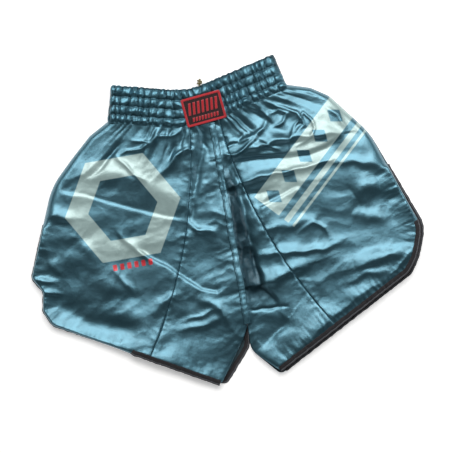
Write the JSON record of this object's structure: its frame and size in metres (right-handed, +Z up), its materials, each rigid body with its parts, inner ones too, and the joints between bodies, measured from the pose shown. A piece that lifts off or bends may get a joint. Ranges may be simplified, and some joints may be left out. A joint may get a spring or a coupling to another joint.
{
  "type": "boxing shorts",
  "caption": "Satin boxing shorts with a ruched elastic waistband, drawcord, front patch, slanting inner panels, side vents and bound curved hems, lying flat.",
  "frame": {"origin": "bottom centre of the bounding box of the shorts lying flat on their back, without the drawcord's loose tails", "axes": "+X along the waistband towards the wearer's left, +Y from the hems up to the waistband, +Z up out of the front"},
  "size_m": [0.6398, 0.5114, 0.0203],
  "materials": {
    "satin": "glossy teal polyester satin",
    "binding": "black folded bias tape",
    "elastic": "white woven elastic",
    "cord": "olive braided cord",
    "patch": "black woven twill",
    "red_thread": "red embroidery thread"
  },
  "bodies": {
    "root": {"front_outer_right": "satin", "front_inner_right": "satin", "front_outer_left": "satin", "front_inner_left": "satin", "back_outer_right": "satin", "back_inner_right": "satin", "back_outer_left": "satin", "back_inner_left": "satin", "hem_binding_front_right": "binding", "hem_binding_front_left": "binding", "hem_binding_back_right": "binding", "hem_binding_back_left": "binding", "waistband_casing": "satin", "elastic_row_1": "elastic", "elastic_row_2": "elastic", "elastic_row_3": "elastic", "elastic_row_4": "elastic", "centre_front_seam": "satin", "centre_back_seam": "satin", "waistband_patch": "patch", "patch_border": "red_thread", "patch_motif": "red_thread", "drawcord_in_channel": "cord", "drawcord_tail_right": "cord", "drawcord_tail_left": "cord", "drawcord_knot_right": "cord", "drawcord_knot_left": "cord"}
  },
  "joints": []
}
